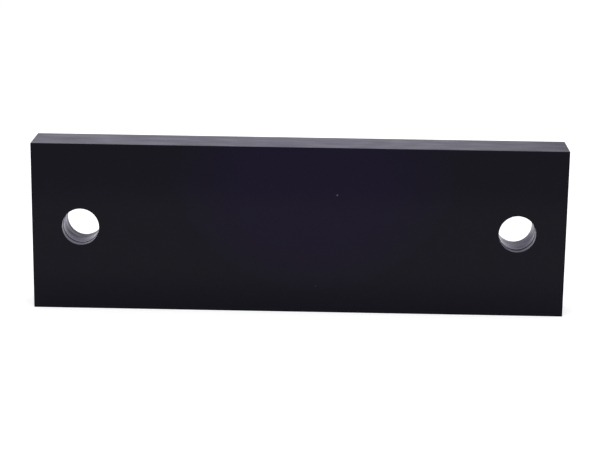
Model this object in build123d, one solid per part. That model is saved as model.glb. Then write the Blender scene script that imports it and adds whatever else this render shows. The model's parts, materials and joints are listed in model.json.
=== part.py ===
from build123d import *
from math import radians, tan
import os

# Machined mounting block: a length of flat bar with two through bores on its
# middle line, standing on one of its long narrow faces.
# +X runs along the length, +Y goes from the front broad face to the rear one,
# and +Z is up. The origin is the middle of the footprint. Sizes are in mm.

# The bar: 1/2 x 1-3/4 in flat stock, 5-1/2 in long
length = 139.7
height = 44.45
thickness = 12.7
edge_break = 0.1            # 45 degree break along all twelve outer edges

# The two bores: 3/8 in, on 4-1/2 in centres
bore_diameter = 9.525
bore_to_end = 12.7          # from each bore's axis to the end of the bar beside it
relief_step = 0.16          # how much wider, on each side, the front mouths are
relief_depth = 2.4          # and for how far in, before the step down to the bore
countersink_depth = 2.0     # how far the rear countersinks go in
countersink_angle = 90.0    # their included angle, in degrees

bore_radius = bore_diameter / 2
bore_spacing = length - 2 * bore_to_end
countersink_radius = bore_radius + countersink_depth * tan(radians(countersink_angle / 2))

# Both broad faces at mid height, looking outwards, to drill from
front_face = Plane(origin=(0, -thickness / 2, height / 2), x_dir=(1, 0, 0), z_dir=(0, -1, 0))
rear_face = Plane(origin=(0, thickness / 2, height / 2), x_dir=(1, 0, 0), z_dir=(0, 1, 0))


def make_mounting_block():
    """The bar with its edges broken, bored and countersunk from the rear, and relieved in front."""
    with BuildPart() as block:
        Box(length, thickness, height, align=(Align.CENTER, Align.CENTER, Align.MIN))
        chamfer(block.edges(), edge_break)
        with Locations(rear_face):
            with GridLocations(bore_spacing, 0, 2, 1):
                CounterSinkHole(bore_radius, countersink_radius, counter_sink_angle=countersink_angle)
        with Locations(front_face):
            with GridLocations(bore_spacing, 0, 2, 1):
                Hole(bore_radius + relief_step, depth=relief_depth)
    return block.part


os.makedirs("parts", exist_ok=True)
export_step(make_mounting_block(), "parts/mounting_block.step")
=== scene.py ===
import json
import math

import bmesh
import bpy
from mathutils import Matrix, Quaternion, Vector


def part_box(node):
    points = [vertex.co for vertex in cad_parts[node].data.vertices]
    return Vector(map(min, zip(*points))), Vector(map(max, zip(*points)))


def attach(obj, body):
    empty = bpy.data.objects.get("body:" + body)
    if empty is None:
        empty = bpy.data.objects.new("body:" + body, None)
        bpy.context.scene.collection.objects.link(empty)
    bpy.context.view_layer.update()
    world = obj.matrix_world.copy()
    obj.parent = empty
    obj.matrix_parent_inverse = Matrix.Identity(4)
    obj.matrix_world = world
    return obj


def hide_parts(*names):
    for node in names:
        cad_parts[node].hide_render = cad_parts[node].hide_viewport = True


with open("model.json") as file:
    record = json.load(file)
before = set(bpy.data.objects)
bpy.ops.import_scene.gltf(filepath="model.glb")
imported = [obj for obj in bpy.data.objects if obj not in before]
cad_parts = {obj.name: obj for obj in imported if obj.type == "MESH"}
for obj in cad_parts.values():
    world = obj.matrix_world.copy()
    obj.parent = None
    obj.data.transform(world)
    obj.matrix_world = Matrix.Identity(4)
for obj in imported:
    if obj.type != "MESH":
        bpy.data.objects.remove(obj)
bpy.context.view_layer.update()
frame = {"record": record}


# Bar of the mounting block: flat aluminium bar, drawn to size, cut to length and
# faced at both ends. All twelve outer edges are only just broken, so the tops of the
# broad faces still look crisp.
MM = 0.001
edge_break = 0.1 * MM
edge_break_segments = 3
low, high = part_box("mounting_block")
middle = (low + high) / 2
BROAD, NARROW, ENDS, BREAKS, BORES = range(5)

block = bmesh.new()
bmesh.ops.create_cube(block, size=1, matrix=Matrix.LocRotScale(middle, None, high - low))
for face in block.faces:
    across_x, across_y, across_z = (abs(part) > 0.5 for part in face.normal)
    face.material_index = ENDS if across_x else BROAD if across_y else NARROW
broken = bmesh.ops.bevel(block, geom=block.edges[:], affect="EDGES", offset=edge_break,
                         segments=edge_break_segments, profile=0.5, material=-1)
for face in broken["faces"]:
    face.material_index = BREAKS
    face.smooth = True
bmesh.ops.delete(block, geom=[face for face in block.faces if face.material_index == BROAD],
                 context="FACES_ONLY")


# Bores: two plain holes through the bar, drilled and then reamed, which leaves faint
# feed marks on the wall. The front mouth is relieved a little wider, down to a thin
# step, and the rear one has a 90 degree countersink.
relief_step = 0.09 * MM
relief_depth = 2.4 * MM
feed_mark_pitch = 2.1 * MM
feed_mark_depth = 0.06 * MM
first_mark = 0.2                   # in pitches from the start of the wall
rim_reach = 0.001 * MM
bore_sides = 128
crease_angle = math.radians(25)
bores = [mount for mount in frame["record"]["mounts"] if mount["kind"] == "bore"]
bore_radius = bores[0]["dims"]["r_mm"] * MM
wall_start = low.y + relief_depth
wall_end = wall_start + bores[0]["dims"]["length_mm"] * MM

profile = [(low.y, bore_radius + relief_step),
           (wall_start, bore_radius + relief_step),
           (wall_start, bore_radius)]
mark_count = int((wall_end - wall_start) / feed_mark_pitch)
for mark in range(mark_count):
    depth = wall_start + (mark + first_mark) * feed_mark_pitch
    profile.append((depth, bore_radius))
    profile.append((depth + 0.5 * feed_mark_pitch, bore_radius + feed_mark_depth))
profile += [(wall_end, bore_radius),
            (high.y, bore_radius + high.y - wall_end)]

bar_faces = set(block.faces)
for bore in bores:
    axis_x, _, axis_z = bore["pos_m"]
    points = [block.verts.new((axis_x, depth, axis_z + radius)) for depth, radius in profile]
    lines = [block.edges.new(pair) for pair in zip(points, points[1:])]
    bmesh.ops.spin(block, geom=points + lines, cent=(axis_x, 0, axis_z), axis=(0, 1, 0),
                   angle=math.tau, steps=bore_sides, use_merge=True)
for face in set(block.faces) - bar_faces:
    face.material_index = BORES
    face.smooth = True
for depth, outwards in ((low.y, -1), (high.y, 1)):
    rims = [edge for edge in block.edges if edge.is_boundary
            and all(abs(end.co.y - depth) < rim_reach for end in edge.verts)]
    filled = bmesh.ops.triangle_fill(block, edges=rims, use_beauty=True, normal=(0, outwards, 0))
    for part in filled["geom"]:
        if isinstance(part, bmesh.types.BMFace):
            part.material_index = BROAD
bmesh.ops.recalc_face_normals(block, faces=block.faces[:])
for edge in block.edges:
    edge.smooth = edge.calc_face_angle(0) < crease_angle

block_mesh = bpy.data.meshes.new("machined_block")
block.to_mesh(block_mesh)
block.free()
machined_block = bpy.data.objects.new("machined_block", block_mesh)
bpy.context.scene.collection.objects.link(machined_block)
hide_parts("mounting_block")
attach(machined_block, "root")


# Finish: the machined block is etched and black anodised, a dyed oxide film about
# 0.02 mm thick over the metal. It is satin and nearly black seen square on, and pale grey at a low
# angle. Its colour also holds painted light: a painted reflection, lighter across the middle and
# darker towards the bottom and top; a painted violet sheen in the middle; and painted shade that
# dulls the low-angle reflection towards the right end.
def linear(code):
    """An sRGB hex colour such as "#1a191e" as linear RGBA."""
    parts = [int(code[start:start + 2], 16) / 255 for start in (1, 3, 5)]
    return [p / 12.92 if p <= 0.04045 else ((p + 0.055) / 1.055) ** 2.4 for p in parts] + [1.0]


def add(tree, kind, inputs, **settings):
    """Adds one node. An input given as a socket is linked, and any other is set."""
    node = tree.nodes.new(kind)
    for name, value in settings.items():
        setattr(node, name, value)
    for name, value in inputs.items():
        if isinstance(value, bpy.types.NodeSocket):
            tree.links.new(value, node.inputs[name])
        else:
            node.inputs[name].default_value = value
    return node


def patch(tree, place, centre, size, fade):
    """1 in a round patch with these half sizes in mm, falling to 0 over the outer part of it."""
    near = add(tree, "ShaderNodeMapping", {"Vector": place,
                                           "Location": [-c / s for c, s in zip(centre, size)],
                                           "Scale": [1 / (s * MM) for s in size]})
    ball = add(tree, "ShaderNodeTexGradient", {"Vector": near.outputs["Vector"]}, gradient_type="SPHERICAL")
    soft = add(tree, "ShaderNodeMapRange", {"Value": ball.outputs["Fac"], "From Max": fade},
               interpolation_type="SMOOTHSTEP")
    return soft.outputs["Result"]


def mixed(tree, amount, colour, other, blend="MIX"):
    """Two colours put together by an amount."""
    return add(tree, "ShaderNodeMix", {"Factor": amount, "A": colour, "B": other},
               data_type="RGBA", blend_type=blend).outputs["Result"]


dye = "#17161c"
# painted reflection: the lighter colour of a band across the middle of every face. Towards the bottom and
# top the colour falls back to dye, standing in for the shaded floor mirrored in the faces.
painted_reflection_pale = "#1a191e"
# painted violet sheen, added in the middle of the front as a painted reflection
painted_violet_sheen = "#050012"
low_angle = "#f4f2ff"
# painted shade: a duller low-angle reflection tint used towards the right end
low_angle_painted_shade = "#d6d4e0"
dust = "#5a5960"
mark_depth = 0.004 * MM
etch_grain = 0.3 * MM              # the real etch is some ten times finer
# where the painted reflection band lies
painted_reflection_band = ((0, 0, 19), (400, 400, 17), 0.6)      # each centre and half sizes in mm, then fade
# where the painted violet sheen lies
painted_sheen_patch = ((4, 0, 34), (42, 110, 33), 0.6)
# where the painted shade lies
painted_shade_end = ((90, 0, 22), (55, 400, 400), 1.0)
front = low.y / MM
front_specks = [((10.0, front, 31.9), 0.32), ((4.7, front, 7.2), 0.14)]


def anodised(name, marks, roughness, uneven, specks=()):
    """A black anodised surface. Marks gives the tool marks' size in mm along X, Y and Z."""
    material = bpy.data.materials.new(name)
    material.use_nodes = True
    tree = material.node_tree
    tree.nodes.clear()
    place = add(tree, "ShaderNodeTexCoord", {}).outputs["Object"]
    # painted reflection: a lighter band across the middle, darker towards the bottom and top
    painted_reflection = patch(tree, place, *painted_reflection_band)
    # painted violet sheen in the middle of the front
    painted_sheen = patch(tree, place, *painted_sheen_patch)
    colour = mixed(tree, painted_reflection, linear(dye), linear(painted_reflection_pale))
    colour = mixed(tree, painted_sheen, colour, linear(painted_violet_sheen), "ADD")
    for centre, size in specks:
        speck = patch(tree, place, centre, (size, size, size), 1.0)
        colour = mixed(tree, speck, colour, linear(dust))
    # painted shade: the low-angle reflection tint is duller towards the right end
    painted_shade = patch(tree, place, *painted_shade_end)
    low_angle_tint_and_painted_shade = mixed(tree, painted_shade, linear(low_angle), linear(low_angle_painted_shade))
    tool = add(tree, "ShaderNodeMapping", {"Vector": place,
                                           "Scale": [1 / (length * MM) for length in marks]})
    streaks = add(tree, "ShaderNodeTexNoise", {"Vector": tool.outputs["Vector"], "Scale": 1.0,
                                               "Detail": 4.0})
    grain = add(tree, "ShaderNodeTexNoise", {"Vector": place, "Scale": 1 / etch_grain, "Detail": 1.0})
    relief = add(tree, "ShaderNodeBump", {"Height": streaks.outputs["Fac"], "Distance": mark_depth})
    fine_relief = add(tree, "ShaderNodeBump", {"Height": grain.outputs["Fac"], "Distance": mark_depth,
                                               "Normal": relief.outputs["Normal"]})
    matt = add(tree, "ShaderNodeMapRange", {"Value": streaks.outputs["Fac"],
                                            "From Min": 0.3, "From Max": 0.7,
                                            "To Min": roughness - uneven, "To Max": roughness + uneven})
    surface = add(tree, "ShaderNodeBsdfPrincipled", {"Base Color": colour, "Metallic": 1.0,
                                                     "Roughness": matt.outputs["Result"],
                                                     "Specular Tint": low_angle_tint_and_painted_shade,
                                                     "Normal": fine_relief.outputs["Normal"]})
    add(tree, "ShaderNodeOutputMaterial", {"Surface": surface.outputs["BSDF"]})
    return material


# Real tool marks lie some 0.1 to 0.3 mm apart. Most of these are coarser, so that they show.
finishes = {
    BROAD: anodised("anodised_broad_face", (6, 6, 6), 0.40, 0.05, front_specks),
    NARROW: anodised("anodised_drawn_edge", (8, 2.5, 2.5), 0.32, 0.05),
    ENDS: anodised("anodised_faced_end", (0.4, 0.4, 12), 0.40, 0.05),
    BREAKS: anodised("anodised_filed_edge", (3, 0.4, 3), 0.34, 0.05),
    BORES: anodised("anodised_reamed_bore", (7, 2.0, 7), 0.32, 0.16),
}
for index in sorted(finishes):
    block_mesh.materials.append(finishes[index])


# Floor: a plain white sheet that runs out of sight. It takes the block's soft
# shadow, and it looks white to the eye and in reflections.
white = "#ffffff"
sheet_white = "#f0f0f0"
sheet_glow = 0.45
floor_size = 6.0
floor_mesh = bpy.data.meshes.new("floor")
sheet = bmesh.new()
bmesh.ops.create_grid(sheet, x_segments=1, y_segments=1, size=floor_size / 2)
sheet.to_mesh(floor_mesh)
sheet.free()
floor = bpy.data.objects.new("floor", floor_mesh)
bpy.context.scene.collection.objects.link(floor)


def seen(tree, hidden, shown):
    """One value for light that falls on things, and another for what is looked at or mirrored."""
    rays = add(tree, "ShaderNodeLightPath", {})
    look = add(tree, "ShaderNodeMath", {0: rays.outputs["Is Camera Ray"], 1: rays.outputs["Is Glossy Ray"]},
               operation="MAXIMUM")
    look = add(tree, "ShaderNodeMath", {0: look.outputs[0], 1: rays.outputs["Is Transmission Ray"]},
               operation="MAXIMUM")
    level = add(tree, "ShaderNodeMapRange", {"Value": look.outputs[0], "To Min": hidden, "To Max": shown})
    return level.outputs["Result"]


paper = bpy.data.materials.new("white_paper")
paper.use_nodes = True
tree = paper.node_tree
tree.nodes.clear()
glow = add(tree, "ShaderNodeEmission", {"Color": linear(white), "Strength": seen(tree, 0.0, sheet_glow)})
matt_white = add(tree, "ShaderNodeBsdfDiffuse", {"Color": linear(sheet_white)})
both = add(tree, "ShaderNodeAddShader", {0: matt_white.outputs[0], 1: glow.outputs[0]})
add(tree, "ShaderNodeOutputMaterial", {"Surface": both.outputs[0]})
floor_mesh.materials.append(paper)


# Light: a large soft panel overhead and a weaker one at each side in front, in a
# white room that reads as pure white wherever it is seen.
room_light = 0.45
world = bpy.data.worlds.new("white_room")
world.use_nodes = True
tree = world.node_tree
tree.nodes.clear()
room = add(tree, "ShaderNodeBackground", {"Color": linear(white),
                                          "Strength": seen(tree, room_light, 1.0)})
add(tree, "ShaderNodeOutputWorld", {"Surface": room.outputs[0]})
bpy.context.scene.world = world


def soft_panel(name, spot, width, power):
    """A square lamp at a spot in metres, of a width and a power in watts, facing the block."""
    lamp = bpy.data.lights.new(name, "AREA")
    lamp.shape = "SQUARE"
    lamp.size = width
    lamp.energy = power
    panel = bpy.data.objects.new(name, lamp)
    panel.location = spot
    panel.rotation_mode = "QUATERNION"
    panel.rotation_quaternion = (middle - Vector(spot)).to_track_quat("-Z", "Y")
    bpy.context.scene.collection.objects.link(panel)


soft_panel("overhead_panel", (0.0, 0.05, 0.80), 0.6, 3.2)
soft_panel("left_panel", (-0.70, -0.60, 0.45), 0.8, 2.0)
soft_panel("right_panel", (0.70, -0.60, 0.45), 0.8, 2.0)


# Camera: a long lens a little above the block and slightly to its right, leaning
# by under a degree, aimed just above the middle of the broad front face.
distance = 480.75 * MM
azimuth, elevation, lean = math.radians(1.129), math.radians(14.59), math.radians(0.722)
aim = Vector((middle.x + 0.38 * MM, low.y, middle.z + 1.51 * MM))
away = Vector((math.sin(azimuth) * math.cos(elevation),
               -math.cos(azimuth) * math.cos(elevation),
               math.sin(elevation)))
camera = bpy.data.objects.new("camera", bpy.data.cameras.new("camera"))
camera.data.lens = 110.4
camera.data.sensor_width = 36.0
camera.data.clip_start = 10 * MM
camera.location = aim + away * distance
camera.rotation_mode = "QUATERNION"
camera.rotation_quaternion = (-away).to_track_quat("-Z", "Y") @ Quaternion((0, 0, 1), lean)
bpy.context.scene.collection.objects.link(camera)
bpy.context.scene.camera = camera
bpy.context.scene.view_settings.view_transform = "Standard"
